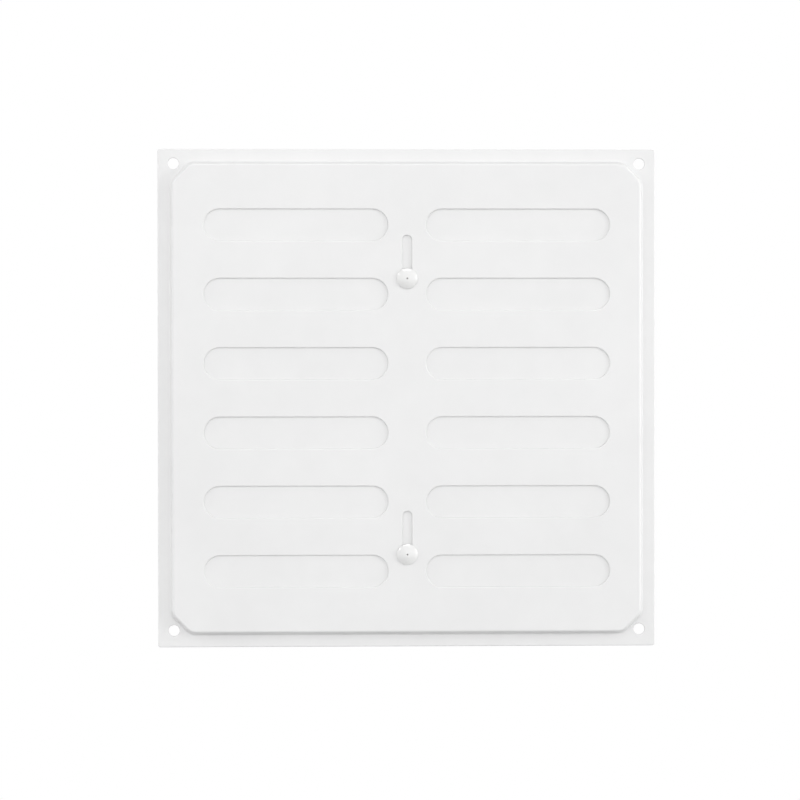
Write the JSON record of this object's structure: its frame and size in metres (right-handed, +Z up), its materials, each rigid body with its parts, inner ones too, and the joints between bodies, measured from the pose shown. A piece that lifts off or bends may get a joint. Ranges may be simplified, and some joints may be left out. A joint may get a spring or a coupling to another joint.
{
  "type": "ventilation grille",
  "caption": "Square pressed-metal hit-and-miss ventilation grille: raised panel with rows of round-ended slots and a sliding shutter worked by dome-headed knobs.",
  "frame": {"origin": "centre of the fixing flange's back plane, where the grille lies on the wall", "axes": "+Z up, +Y into the wall along the flange's back normal, so the grille's front faces -Y, +X to the right seen from the front"},
  "size_m": [0.242, 0.0074, 0.242],
  "materials": {
    "white_powder_coat": "satin",
    "white_coated_rivet": "satin",
    "spring_steel": "satin",
    "zinc_plated_steel": "satin"
  },
  "bodies": {
    "face": {"face_plate": "white_powder_coat"},
    "shutter": {"shutter_plate": "white_powder_coat", "upper_knob": "white_coated_rivet", "lower_knob": "white_coated_rivet", "upper_wave_washer": "spring_steel", "lower_wave_washer": "spring_steel", "upper_back_washer": "zinc_plated_steel", "lower_back_washer": "zinc_plated_steel"}
  },
  "joints": [
    {"name": "shutter_slide", "type": "slide", "parent": "face", "child": "shutter", "axis": [0, 0, 1], "range_m": [0, 0.0186]}
  ]
}
